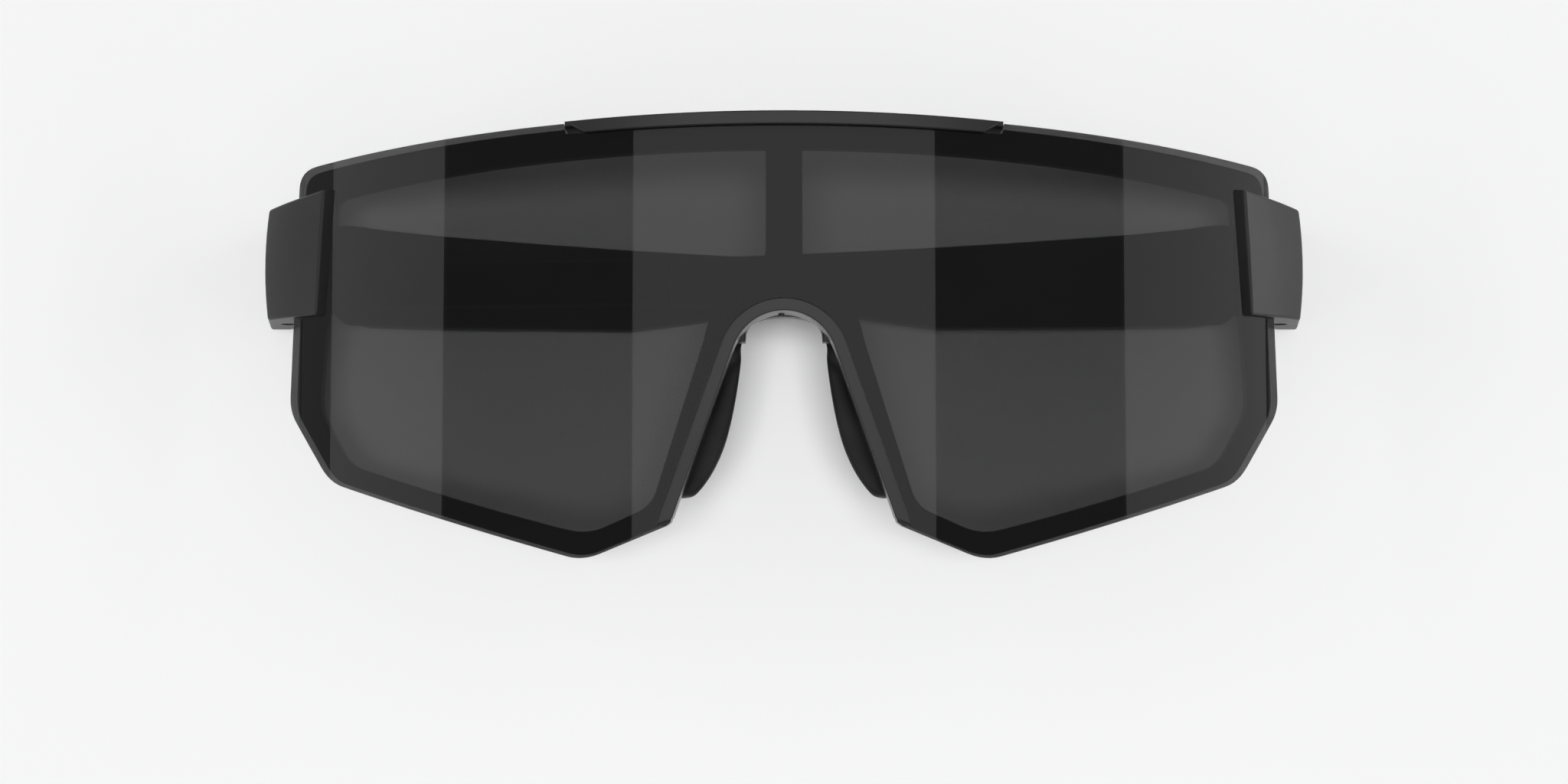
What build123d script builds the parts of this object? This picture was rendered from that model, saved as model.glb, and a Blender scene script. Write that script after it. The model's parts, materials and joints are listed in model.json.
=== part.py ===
from build123d import *
import math
import os

# Wraparound sport sunglasses, lying face up on their folded temples, in millimetres.
# +X is the wearer's left, +Y is the wearer's up and +Z leads out of the front of the lens.
# The parts are drawn with the lens apex at z = 0 and are raised to stand on the floor when saved.

# ---- driving dimensions -------------------------------------------------------------
FLOOR_DEPTH = 41.4          # from the lens apex back to the floor
CENTRE_SHIFT_Y = -0.0415    # puts the middle of the whole height at y = 0
LENS_RADIUS = 105.0         # front face of the cylindrical lens
LENS_THICKNESS = 2.0
RIM_THICKNESS = 2.2
SKIN_GAP = 0.05             # between the lens and what touches it
HEIGHT_LIMIT = 60.0         # taller than any part of the front

LENS_TOP = 28.3             # lens top edge at the middle
LENS_TOP_CORNER = (66.9, 24.8)
LENS_SIDE_CORNER = (68.1, -8.4)
LENS_LOW_CORNER = (61.4, -18.3)
LENS_TIP = (25.6, -28.6)
LENS_NOSE_CORNER = (14.2, -23.9)

EYE_TOP = 24.1              # eye opening of the rim
EYE_SIDE_TOP = (61.3, 20.6)
EYE_SIDE_LOW = (63.7, -8.3)
EYE_LOW_CORNER = (58.9, -15.9)
EYE_TIP = (25.3, -25.3)
COLUMN_HALF_WIDTH = 2.35

NOSE_CENTRE_Y = -3.73       # nose arch: an arc with two straight legs
NOSE_RADIUS = 6.76
NOSE_LEG_ANGLE = 19.6       # each leg leans out from the vertical
CLIP_WIDTH = 1.65
CLIP_PROUD = 0.7
CLIP_WALL = 0.8
CLIP_DEPTH = 6.5
CLIP_FOOT = ((14.1, -23.2), (16.1, -24.0))     # inner and outer corner of each foot

BAR_PROUD = 0.9
BAR_TOP = 28.55
BAR_HALF_LENGTH = 28.3
BAR_WALL = 0.7
BAR_FACE = 1.75

HINGE_X = 70.0              # hinge axis, parallel to Y
HINGE_Z = -33.0
HINGE_MIDDLE_Y = 12.0
BLOCK_LOW = 4.35
BARREL_RADIUS = 1.75
BARREL_LENGTH = 8.8
SCREW_RADIUS = 0.7
RUNNING_GAP = 0.05
WASHER_THICKNESS = 0.25
LUG_THICKNESS = 1.6
LUG_RADIUS = 2.0

LEFT_FOLD_TILT = 1.2        # the left temple is folded first and lies next to the lens
RIGHT_FOLD_TILT = 2.9       # the right temple is folded over it and slopes to the floor

ARM_END = 86.0              # where the rigid arm thins to a stem inside its grip
GRIP_START = 86.2
TEMPLE_LENGTH = 130.0
STEM_END = 124.0


# ---- helpers ----------------------------------------------------------------------------
def face_of(points, plane=Plane.XY):
    """A flat face inside a closed run of straight edges."""
    return plane * make_face(Polyline(*points, close=True))


def standing(points, low, high):
    """Extrude an outline drawn as (x, z) points from one height y to another."""
    level = Plane(origin=(0, low, 0), x_dir=(1, 0, 0), z_dir=(0, -1, 0))
    return extrude(face_of(points, level), amount=high - low, dir=(0, 1, 0))


def through(face, front=8.0, back=-45.0):
    """Extrude a face of the front view along Z."""
    return extrude(Pos(0, 0, back) * face, amount=front - back, dir=(0, 0, 1))


def rod_y(radius, low, high, x=HINGE_X, z=HINGE_Z):
    """A round rod parallel to Y."""
    length = high - low
    return Pos(x, low + length / 2, z) * Cylinder(radius, length, rotation=(90, 0, 0))


def drum(radius):
    """A solid drum with the axis of the lens cylinder."""
    return Pos(0, 0, -LENS_RADIUS) * Cylinder(radius, 2 * HEIGHT_LIMIT, rotation=(90, 0, 0))


def skin(outer, inner):
    """The cylindrical layer between two radii about the axis of the lens."""
    return drum(outer) - drum(inner)


def both_sides(face):
    return face + mirror(face, about=Plane.YZ)


def rod_between(start, end, radius):
    """A round rod from one point to another."""
    line = Line(start, end)
    return sweep(Plane(origin=start, z_dir=line % 0) * Circle(radius), path=line)


def round_edges(shape, edges, radius):
    """Round edges, or keep them sharp where the radius does not fit."""
    try:
        return fillet(edges, radius)
    except Exception:
        return shape


# ---- the nose arch -----------------------------------------------------------------------
def nose_line(offset, foot_y):
    """Right half of the arch, as (leg foot, tangent point, top) for an offset from its inner line."""
    lean = math.radians(NOSE_LEG_ANGLE)
    radius = NOSE_RADIUS + offset
    tangent = (radius * math.cos(lean), NOSE_CENTRE_Y + radius * math.sin(lean))
    foot = (tangent[0] + (tangent[1] - foot_y) * math.tan(lean), foot_y)
    return foot, tangent, (0.0, NOSE_CENTRE_Y + radius)


def nose_area(offset, foot_y=-HEIGHT_LIMIT / 2):
    """Everything under the arch, as a face of the front view."""
    foot, tangent, top = nose_line(offset, foot_y)
    outline = [
        Line(foot, tangent),
        ThreePointArc(tangent, top, (-tangent[0], tangent[1])),
        Line((-tangent[0], tangent[1]), (-foot[0], foot_y)),
        Line((-foot[0], foot_y), foot),
    ]
    return make_face(outline)


def below_feet():
    """Everything under the sloping feet of the clip, on both sides, as a face of the front view."""
    (near_x, near_y), (far_x, far_y) = CLIP_FOOT
    slope = (far_y - near_y) / (far_x - near_x)
    reach = 8.0
    start = (near_x - reach, near_y - slope * reach)
    end = (near_x + reach, near_y + slope * reach)
    low = -HEIGHT_LIMIT
    return both_sides(face_of([start, end, (end[0], low), (start[0], low)]))


# ---- lens and rim --------------------------------------------------------------------------
def lens_face(inset=0.0):
    """Front view of the lens, with both halves, and without the nose gap."""
    top_x, top_y = LENS_TOP_CORNER
    side_x, side_y = LENS_SIDE_CORNER
    low_x, low_y = LENS_LOW_CORNER
    tip_x, tip_y = LENS_TIP
    nose_x, nose_y = LENS_NOSE_CORNER
    middle = ((low_x + tip_x) / 2, (low_y + tip_y) / 2 - 0.2)
    outline = [
        ThreePointArc((-top_x, top_y), (0, LENS_TOP), (top_x, top_y)),
        Line((top_x, top_y), (side_x, side_y)),
        Line((side_x, side_y), (low_x, low_y)),
        ThreePointArc((low_x, low_y), middle, (tip_x, tip_y)),
        Line((tip_x, tip_y), (nose_x, nose_y)),
        Line((nose_x, nose_y), (-nose_x, nose_y)),
        Line((-nose_x, nose_y), (-tip_x, tip_y)),
        ThreePointArc((-tip_x, tip_y), (-middle[0], middle[1]), (-low_x, low_y)),
        Line((-low_x, low_y), (-side_x, side_y)),
        Line((-side_x, side_y), (-top_x, top_y)),
    ]
    face = make_face(outline)
    for corner, radius in ((LENS_TOP_CORNER, 2.2), (LENS_SIDE_CORNER, 2.0), (LENS_LOW_CORNER, 2.5), (LENS_TIP, 2.5)):
        near = [v for v in face.vertices() if abs(abs(v.X) - corner[0]) < 0.1 and abs(v.Y - corner[1]) < 0.1]
        face = fillet(near, radius)
    if inset:
        face = offset(face, -inset)
    return face


def eye_face():
    """Front view of the left eye opening of the rim."""
    column = COLUMN_HALF_WIDTH
    foot = nose_line(3.2, -21.6)[0]
    side_middle = (EYE_SIDE_TOP[0] + 1.3, 6.0)
    outline = [
        ThreePointArc((column, EYE_TOP), (32.0, 23.2), EYE_SIDE_TOP),
        ThreePointArc(EYE_SIDE_TOP, side_middle, EYE_SIDE_LOW),
        Line(EYE_SIDE_LOW, EYE_LOW_CORNER),
        ThreePointArc(EYE_LOW_CORNER, (42.5, -20.8), EYE_TIP),
        Line(EYE_TIP, foot),
        Line(foot, (10.25, -0.4)),
        ThreePointArc((10.25, -0.4), (8.1, 4.9), (3.1, 9.3)),
        Line((3.1, 9.3), (column, 11.2)),
        Line((column, 11.2), (column, EYE_TOP)),
    ]
    face = make_face(outline)
    for corner, radius in (
        (EYE_SIDE_LOW, 2.5), (EYE_LOW_CORNER, 2.5), (EYE_TIP, 1.6), (foot, 1.4), (EYE_SIDE_TOP, 1.5),
    ):
        near = [v for v in face.vertices() if abs(v.X - corner[0]) < 0.1 and abs(v.Y - corner[1]) < 0.1]
        face = fillet(near, radius)
    return face


def bar_envelope(gap=0.0):
    """The room that the brow bar takes from the top of the lens and the rim."""
    reach = BAR_HALF_LENGTH + gap
    low = BAR_TOP - BAR_WALL - gap
    drop = 0.72
    outline = [
        ThreePointArc((-reach, low - drop), (0, low), (reach, low - drop)),
        Line((reach, low - drop), (reach, 40)),
        Line((reach, 40), (-reach, 40)),
        Line((-reach, 40), (-reach, low - drop)),
    ]
    return through(make_face(outline), 8.0, -20.0)


def make_shield_lens():
    shell = skin(LENS_RADIUS, LENS_RADIUS - LENS_THICKNESS)
    face = lens_face() - nose_area(CLIP_WALL + 0.1)
    lens = shell & through(face)
    return lens - bar_envelope(SKIN_GAP)


def make_frame_rim():
    outer = LENS_RADIUS - LENS_THICKNESS - SKIN_GAP
    shell = skin(outer, outer - RIM_THICKNESS)
    face = lens_face(0.35) - nose_area(CLIP_WALL + 0.1) - both_sides(eye_face())
    rim = shell & through(face)
    return rim - bar_envelope(SKIN_GAP)


# ---- brow bar --------------------------------------------------------------------------------
def make_brow_bar():
    """An L section: a lip in front of the lens and a wall over its top edge."""
    front = LENS_RADIUS + BAR_PROUD
    back = LENS_RADIUS - LENS_THICKNESS - RIM_THICKNESS - 0.4
    drop = 0.75
    end_x = BAR_HALF_LENGTH
    top_arc = ThreePointArc((-end_x, BAR_TOP - drop), (0, BAR_TOP), (end_x, BAR_TOP - drop))
    lip_low = BAR_TOP - BAR_FACE
    lip = make_face([
        top_arc,
        Line((end_x, BAR_TOP - drop), (end_x - 2.6, lip_low - 0.52)),
        ThreePointArc((end_x - 2.6, lip_low - 0.52), (0, lip_low), (2.6 - end_x, lip_low - 0.52)),
        Line((2.6 - end_x, lip_low - 0.52), (-end_x, BAR_TOP - drop)),
    ])
    wall_low = BAR_TOP - BAR_WALL
    wall = make_face([
        top_arc,
        Line((end_x, BAR_TOP - drop), (end_x, wall_low - drop + 0.03)),
        ThreePointArc((end_x, wall_low - drop + 0.03), (0, wall_low), (-end_x, wall_low - drop + 0.03)),
        Line((-end_x, wall_low - drop + 0.03), (-end_x, BAR_TOP - drop)),
    ])
    lip_solid = through(lip) & skin(front, LENS_RADIUS + 0.02)
    wall_solid = through(wall) & skin(front, back)
    return lip_solid + wall_solid


# ---- nose parts --------------------------------------------------------------------------------
def leg_frame(depth_z, along):
    """A point on the ear line of the left leg, its direction down the leg and its normal outwards."""
    lean = math.radians(NOSE_LEG_ANGLE)
    down = Vector(math.sin(lean), -math.cos(lean), 0)
    out = Vector(math.cos(lean), math.sin(lean), 0)
    reach = NOSE_RADIUS + CLIP_WALL + EAR_WIDTH / 2 - 0.1
    centre = Vector(0, NOSE_CENTRE_Y, depth_z) + out * reach + down * along
    return centre, down


SADDLE_GAP = 0.65           # between the ends of the saddle and the tops of the pads
SADDLE_HALF = 3.6           # half its length along its inner face
EAR_Z = -6.5
EAR_ALONG = 6.5
EAR_LENGTH = 3.2
EAR_WIDTH = 2.3
WIRE_RADIUS = 0.5


def make_nose_bridge_clip():
    strip_face = nose_area(CLIP_WIDTH) - nose_area(0.0) - below_feet()
    wall_face = nose_area(CLIP_WALL) - nose_area(0.0) - below_feet()
    strip = through(strip_face) & skin(LENS_RADIUS + CLIP_PROUD, LENS_RADIUS + 0.02)
    wall = through(wall_face, 8.0, -CLIP_DEPTH) & drum(LENS_RADIUS + CLIP_PROUD)
    clip = strip + wall
    centre, down = leg_frame(EAR_Z, EAR_ALONG)
    for side in (1, -1):
        middle = Vector(side * centre.X, centre.Y, centre.Z)
        lean = side * NOSE_LEG_ANGLE
        place = Location(middle, (0, 0, lean))
        ear = place * Box(EAR_WIDTH, EAR_LENGTH, 1.9)
        bore = place * Cylinder(WIRE_RADIUS + RUNNING_GAP, 3 * EAR_LENGTH, rotation=(90, 0, 0))
        clip = clip + ear - bore
    return clip


def make_nose_saddle():
    """Rubber lining of the arch, down to just above the sloping tops of the pads."""
    (inner_x, inner_y), (outer_x, outer_y) = PAD_TOP
    slope = (outer_y - inner_y) / (outer_x - inner_x)
    lift = SADDLE_GAP * math.hypot(1, slope)
    middle_y = inner_y + lift - slope * inner_x
    reach = HEIGHT_LIMIT
    end_x = SADDLE_HALF
    under = face_of([
        (end_x, middle_y + slope * end_x), (reach, middle_y + slope * reach), (reach, -reach), (end_x, -reach),
    ])
    face = nose_area(0.7) - nose_area(-0.55) - both_sides(under)
    return through(face, -CLIP_DEPTH - 0.02, -CLIP_DEPTH - 3.0)


PAD_TOP = ((4.55, 0.35), (6.6, -1.0))
PAD_FRONT = -7.5
PAD_DEPTH = 6.0
PAD_FLARE = 0.33            # the pad leans out by this much for each millimetre of depth


def pad_solid():
    """Left pad: a crescent in the front view, swept back and outwards."""
    inner = [PAD_TOP[0], (5.25, -3.0), (6.2, -7.8), (7.45, -12.6), (9.4, -17.3), (11.6, -20.2)]
    outline = [
        Spline(*inner),
        Line((11.6, -20.2), (13.1, -19.7)),
        Spline((13.1, -19.7), (11.2, -14.0), (8.9, -7.5), PAD_TOP[1]),
        Line(PAD_TOP[1], PAD_TOP[0]),
    ]
    face = Pos(0, 0, PAD_FRONT) * make_face(outline)
    return extrude(face, amount=PAD_DEPTH, dir=(PAD_FLARE, 0, -1))


def pad_wire_solid():
    """Left core: a straight root in the ear of the clip, then a bend back into the pad."""
    centre, down = leg_frame(EAR_Z, EAR_ALONG)
    start = centre - down * (EAR_LENGTH / 2 + 0.3)
    bend = centre + down * (EAR_LENGTH / 2 + 0.9)
    end = Vector(bend.X - 1.0, bend.Y - 0.4, PAD_FRONT - 3.2)
    wire = rod_between(start, bend, WIRE_RADIUS)
    wire = wire + Pos(bend) * Sphere(WIRE_RADIUS)
    return wire + rod_between(bend, end, WIRE_RADIUS) + Pos(end) * Sphere(WIRE_RADIUS)


# ---- hinge block and its hardware, for the left side -----------------------------------------------
BLOCK_INNER_FOOT = (60.3, -19.9)
BLOCK_INNER_FRONT = (62.6, -18.2)
BLOCK_OUTER_FRONT = (72.1, -26.4)
BLOCK_OUTER_BACK = (74.7, -41.4)
LUG_REACH = 4.85            # the block's walls stay inside this radius on the arm's inner side
STACK_LOW = HINGE_MIDDLE_Y - BARREL_LENGTH / 2
STACK_HIGH = HINGE_MIDDLE_Y + BARREL_LENGTH / 2
WASHER_LOW = STACK_LOW - 0.1 - WASHER_THICKNESS
WASHER_HIGH = STACK_HIGH + 0.1 + WASHER_THICKNESS
LUG_LOW = WASHER_LOW - 0.02 - LUG_THICKNESS
LUG_HIGH = WASHER_HIGH + 0.02 + LUG_THICKNESS
BLOCK_HIGH = 21.7


def block_outline():
    """The block seen along Y, with its seam towards the temple."""
    reach = LUG_REACH
    seam = (HINGE_X - 0.6, HINGE_Z - reach)
    inner = (HINGE_X - reach, HINGE_Z)
    turn = (HINGE_X - reach * math.sin(math.radians(52)), HINGE_Z - reach * math.cos(math.radians(52)))
    return [
        Line(BLOCK_INNER_FOOT, BLOCK_INNER_FRONT),
        ThreePointArc(BLOCK_INNER_FRONT, (67.5, -21.85), BLOCK_OUTER_FRONT),
        Line(BLOCK_OUTER_FRONT, BLOCK_OUTER_BACK),
        Line(BLOCK_OUTER_BACK, (71.6, BLOCK_OUTER_BACK[1])),
        Line((71.6, BLOCK_OUTER_BACK[1]), seam),
        ThreePointArc(seam, turn, inner),
        Line(inner, (HINGE_X - reach, -28.2)),
        Line((HINGE_X - reach, -28.2), (61.2, -22.6)),
        Line((61.2, -22.6), BLOCK_INNER_FOOT),
    ]


def block_solid():
    level = Plane(origin=(0, BLOCK_LOW, 0), x_dir=(1, 0, 0), z_dir=(0, -1, 0))
    outline = level * make_face(block_outline())
    block = extrude(outline, amount=BLOCK_HIGH - BLOCK_LOW, dir=(0, 1, 0))
    top_cut = face_of([(55, 22.6), (80, 18.35), (80, 40), (55, 40)])
    block = block - through(top_cut)
    inner_cut = face_of([(60.6, 25.0), (60.9, 21.0), (62.2, 4.3), (62.5, 0.0), (50, 0), (50, 25)])
    block = block - through(inner_cut)
    vertical = [e for e in block.edges() if e.center().Z > -28 and e.center().X > 61.9]
    block = round_edges(block, vertical, 0.7)
    slot = skin(LENS_RADIUS + 0.06, LENS_RADIUS - LENS_THICKNESS - RIM_THICKNESS - 2 * SKIN_GAP - 0.05)
    slot = slot & Pos(68.4 - 20, 0, -20) * Box(40, 90, 60)
    block = block - slot
    cavity = standing(
        [(60.0, -27.9), (71.35, -27.9), (73.15, -39.9), (73.15, -45.0), (60.0, -45.0)],
        LUG_LOW, LUG_HIGH,
    )
    front_bits = standing([(60.0, -25.0), (68.3, -25.0), (68.3, -28.0), (60.0, -28.0)], LUG_LOW, LUG_HIGH)
    behind_lens = front_bits & drum(LENS_RADIUS - LENS_THICKNESS)
    block = block - cavity - behind_lens
    head = rod_y(1.3, BLOCK_LOW - 1, LUG_LOW + 0.01)
    return block - head


def bracket_solid():
    """Spine in the front of the block, and two lugs that reach back to the hinge axis."""
    spine = standing([(68.5, -28.0), (71.1, -28.0), (71.4, -30.7), (68.5, -30.7)], LUG_LOW, LUG_HIGH)
    lugs = []
    for low, high in ((LUG_LOW, LUG_LOW + LUG_THICKNESS), (LUG_HIGH - LUG_THICKNESS, LUG_HIGH)):
        arm = standing([(68.5, -30.5), (71.4, -30.5), (71.9, HINGE_Z), (68.1, HINGE_Z)], low, high)
        lugs.append(arm + rod_y(LUG_RADIUS, low, high))
    bracket = spine + lugs[0] + lugs[1]
    bracket = bracket - rod_y(SCREW_RADIUS + 0.02, LUG_LOW - 1, LUG_LOW + LUG_THICKNESS + 1)
    return bracket - rod_y(1.25, LUG_HIGH - LUG_THICKNESS - 1, LUG_HIGH + 1)


def screw_solid():
    head_low = BLOCK_LOW + 0.35
    head = rod_y(1.2, head_low, LUG_LOW)
    top_edge = head.edges().filter_by(GeomType.CIRCLE).sort_by(Axis.Y)[0]
    head = round_edges(head, [top_edge], 0.2)
    shank = rod_y(SCREW_RADIUS, LUG_LOW, LUG_HIGH - 0.2)
    slot = Pos(HINGE_X, head_low, HINGE_Z) * Rot(0, 35, 0) * Box(3.0, 0.7, 0.35)
    return head + shank - slot


def insert_solid():
    """Threaded insert in the upper lug; the thread is a plain bore."""
    low = LUG_HIGH - LUG_THICKNESS
    return rod_y(1.23, low, LUG_HIGH) - rod_y(SCREW_RADIUS + 0.02, low - 1, LUG_HIGH + 1)


def washers_solid():
    rings = []
    for low in (WASHER_LOW, WASHER_HIGH - WASHER_THICKNESS):
        high = low + WASHER_THICKNESS
        rings.append(rod_y(1.7, low, high) - rod_y(SCREW_RADIUS + 0.03, low - 1, high + 1))
    return rings


# ---- temple, for the left side, folded with no tilt --------------------------------------------------
# Along the arm s runs from the hinge axis to the tip, and t runs to the outer side.
def arm_point(s, t):
    """A point (s, t) of the folded left temple as (x, z)."""
    return (HINGE_X - s, HINGE_Z - t)


def plan_face(outer, inner, heel=None):
    """Plan of a length of the temple, seen along Y, between two curves of (s, t) points."""
    outer = [arm_point(*p) for p in outer]
    inner = [arm_point(*p) for p in inner]
    outline = [Spline(*outer), Line(outer[-1], inner[-1]), Spline(*inner[::-1])]
    if heel:
        heel = arm_point(*heel)
        outline = outline + [Line(inner[0], heel), Line(heel, outer[0])]
    else:
        outline.append(Line(inner[0], outer[0]))
    level = Plane(origin=(0, -HEIGHT_LIMIT, 0), x_dir=(1, 0, 0), z_dir=(0, -1, 0))
    return extrude(level * make_face(outline), amount=2 * HEIGHT_LIMIT, dir=(0, 1, 0))


def side_solid(outline):
    """Side view of a length of the temple, drawn as edges of (s, y) points."""
    face = Pos(HINGE_X, 0, 0) * mirror(make_face(outline), about=Plane.YZ)
    return through(face, -20.0, -50.0)


OUTER_CURVE = [(8.7, 4.7), (30, 4.55), (55, 4.15), (86, 3.2), (108, 2.45), (130, 1.6)]
INNER_CURVE = [(5.25, -0.55), (30, -0.35), (55, -0.25), (86, -0.55), (108, -1.1), (130, -1.8)]
ARM_HEEL = (8.7, 1.4)       # the root of the arm follows the back of the block when open


def arm_body():
    plan = plan_face(OUTER_CURVE, INNER_CURVE, ARM_HEEL)
    side = side_solid([
        Line((4.0, 18.75), (21.5, 17.05)),
        Spline((21.5, 17.05), (48.0, 15.25), (66.5, 14.3), (ARM_END, 13.5)),
        Line((ARM_END, 13.5), (ARM_END, 6.95)),
        Line((ARM_END, 6.95), (66.0, 6.15)),
        Line((66.0, 6.15), (48.5, 3.7)),
        Line((48.5, 3.7), (21.5, 3.9)),
        Line((21.5, 3.9), (6.2, 4.3)),
        Line((6.2, 4.3), (4.0, 7.5)),
        Line((4.0, 7.5), (4.0, 18.75)),
    ])
    return plan & side


def grip_body():
    plan = plan_face(
        [(ARM_END - 6, 3.4), (108, 2.5), (TEMPLE_LENGTH, 1.65)],
        [(ARM_END - 6, -0.5), (108, -1.15), (TEMPLE_LENGTH, -1.85)],
    )
    side = side_solid([
        Line((GRIP_START, 13.5), (126.4, 12.7)),
        ThreePointArc((126.4, 12.7), (TEMPLE_LENGTH - 0.2, 9.5), (126.4, 6.2)),
        Line((126.4, 6.2), (GRIP_START, 6.95)),
        Line((GRIP_START, 6.95), (GRIP_START, 13.5)),
    ])
    return plan & side


def stem_solid(growth=0.0):
    """The thin end of the arm that carries the grip."""
    plan = plan_face(
        [(ARM_END - 4, 2.45 + growth), (STEM_END + growth, 0.95 + growth)],
        [(ARM_END - 4, 0.35 - growth), (STEM_END + growth, -0.85 - growth)],
    )
    side = side_solid([
        Line((ARM_END - 4, 12.1 + growth), (STEM_END + growth, 11.4 + growth)),
        Line((STEM_END + growth, 11.4 + growth), (STEM_END + growth, 7.8 - growth)),
        Line((STEM_END + growth, 7.8 - growth), (ARM_END - 4, 8.3 - growth)),
        Line((ARM_END - 4, 8.3 - growth), (ARM_END - 4, 12.1 + growth)),
    ])
    return plan & side


def core_wire_solid():
    start = arm_point(70.0, 1.9)
    end = arm_point(121.0, 0.15)
    return rod_between((start[0], 10.2, start[1]), (end[0], 9.7, end[1]), 0.6)


def knuckle_solid():
    """Barrel on the hinge axis and the tongue that is set in the arm."""
    barrel = rod_y(BARREL_RADIUS, STACK_LOW, STACK_HIGH)
    low_t, high_t = 0.2, 1.7
    tongue = standing([arm_point(0, low_t), arm_point(16.5, low_t), arm_point(16.5, high_t), arm_point(0, high_t)],
                      HINGE_MIDDLE_Y - 3.6, HINGE_MIDDLE_Y + 3.6)
    return barrel + tongue - rod_y(1.1, STACK_LOW - 1, STACK_HIGH + 1)


def bush_solid():
    return rod_y(1.09, STACK_LOW, STACK_HIGH) - rod_y(SCREW_RADIUS + RUNNING_GAP, STACK_LOW - 1, STACK_HIGH + 1)


def rivet_solids():
    rivets = []
    for s in (9.5, 13.5):
        x, z = arm_point(s, 1.7)
        rivets.append(Pos(x, HINGE_MIDDLE_Y, z + 1.02) * Cylinder(0.6, 2.04))
    return rivets


# ---- assembly ----------------------------------------------------------------------------------------
def fold(shape, tilt):
    """Turn a folded temple about its hinge axis."""
    pivot = Location((HINGE_X, 0, HINGE_Z))
    return pivot * Rot(0, tilt, 0) * pivot.inverse() * shape


def solids_of(item):
    items = item if isinstance(item, list) else [item]
    found = []
    for shape in items:
        found.extend(shape.solids())
    return found


def temple_parts():
    knuckle = knuckle_solid()
    rivets = rivet_solids()
    wire = core_wire_solid()
    arm = arm_body() + stem_solid()
    arm = arm - knuckle - rivets[0] - rivets[1] - wire
    knuckle = knuckle - rivets[0] - rivets[1]
    grip = grip_body() - stem_solid(0.02)
    return {
        "temple_arm": arm,
        "temple_grip": grip,
        "temple_core": wire,
        "hinge_knuckle": knuckle,
        "hinge_bush": bush_solid(),
        "knuckle_rivets": rivets,
    }


def block_parts():
    return {
        "hinge_block": block_solid(),
        "hinge_bracket": bracket_solid(),
        "hinge_screw": screw_solid(),
        "hinge_insert": insert_solid(),
        "hinge_washers": washers_solid(),
    }


def nose_parts():
    wire = pad_wire_solid()
    return {"nose_pad_wire": wire, "nose_pad": pad_solid() - wire}


def build():
    nodes = {
        "shield_lens": make_shield_lens(),
        "frame_rim": make_frame_rim(),
        "brow_bar": make_brow_bar(),
        "nose_bridge_clip": make_nose_bridge_clip(),
        "nose_saddle": make_nose_saddle(),
    }
    for name, shape in {**block_parts(), **nose_parts()}.items():
        pieces = solids_of(shape)
        nodes[name + "_left"] = pieces
        nodes[name + "_right"] = [mirror(piece, about=Plane.YZ) for piece in pieces]
    for name, shape in temple_parts().items():
        pieces = solids_of(shape)
        nodes[name + "_left"] = [fold(piece, LEFT_FOLD_TILT) for piece in pieces]
        nodes[name + "_right"] = [mirror(fold(piece, -RIGHT_FOLD_TILT), about=Plane.YZ) for piece in pieces]
    return nodes


def save(nodes):
    os.makedirs("parts", exist_ok=True)
    for name, shape in nodes.items():
        pieces = [Pos(0, CENTRE_SHIFT_Y, FLOOR_DEPTH) * piece for piece in solids_of(shape)]
        whole = pieces[0] if len(pieces) == 1 else Compound(children=pieces)
        export_step(whole, "parts/" + name + ".step")


save(build())
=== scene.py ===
import json
import math
import bmesh
import bpy
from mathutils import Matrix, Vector


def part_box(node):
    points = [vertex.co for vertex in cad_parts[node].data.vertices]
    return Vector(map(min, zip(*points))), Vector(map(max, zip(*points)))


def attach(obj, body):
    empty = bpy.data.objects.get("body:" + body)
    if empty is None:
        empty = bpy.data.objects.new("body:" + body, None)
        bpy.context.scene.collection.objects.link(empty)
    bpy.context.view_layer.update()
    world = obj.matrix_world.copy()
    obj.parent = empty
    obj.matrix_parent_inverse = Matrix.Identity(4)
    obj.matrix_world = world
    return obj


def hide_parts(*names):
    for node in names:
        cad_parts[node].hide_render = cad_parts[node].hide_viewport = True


# Wraparound sport sunglasses, face up on their folded temples.
# Shapes are worked out in millimetres with the lens apex at z = 0, then placed in the frame in metres.
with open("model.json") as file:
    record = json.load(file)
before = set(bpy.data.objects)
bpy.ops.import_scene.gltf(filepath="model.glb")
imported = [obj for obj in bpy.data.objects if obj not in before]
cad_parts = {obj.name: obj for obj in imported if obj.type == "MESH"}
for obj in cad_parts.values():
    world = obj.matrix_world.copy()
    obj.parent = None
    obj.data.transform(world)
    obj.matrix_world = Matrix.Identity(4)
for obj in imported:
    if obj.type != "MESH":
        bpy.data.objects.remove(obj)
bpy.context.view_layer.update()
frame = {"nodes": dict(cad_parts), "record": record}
MM = 0.001
APEX_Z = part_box("shield_lens")[1].z
SIDES = (("left", 1), ("right", -1))

# ---- sizes shared with the CAD source, in millimetres ----
LENS_RADIUS = 105.0
LENS_BACK = 103.0
RIM_FRONT = 102.95
RIM_BACK = 100.75
SKIN = 0.02
LENS_CORNERS = ((66.9, 24.8), (68.1, -8.4), (61.4, -18.3), (25.6, -28.6), (15.5, -24.44))
LENS_TOP = 28.3
NOSE_CENTRE_Y = -3.73
NOSE_RADIUS = 6.76
NOSE_LEAN = math.radians(19.6)
CLIP_WIDTH = 1.65
CLIP_WALL = 0.8
CLIP_FRONT = 105.7
CLIP_BACK_Z = -6.5
BAR_HALF = 28.3
BAR_TOP = 28.55
BAR_FRONT = 105.9
EYE_COLUMN = 2.35
HINGE_X = 70.0
HINGE_Z = -33.0
FOLD_TILT = {"left": 1.2, "right": -2.9}
MIDDLE_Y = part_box("brow_bar")[1].y - BAR_TOP * MM


# ---- small geometry helpers ----
def place(point):
    """Millimetres about the lens apex, to metres in the frame."""
    return Vector((point[0] * MM, point[1] * MM + MIDDLE_Y, point[2] * MM + APEX_Z))


def mix(a, b, t):
    return a + (b - a) * t


def smooth(t):
    t = min(1.0, max(0.0, t))
    return t * t * (3 - 2 * t)


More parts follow.
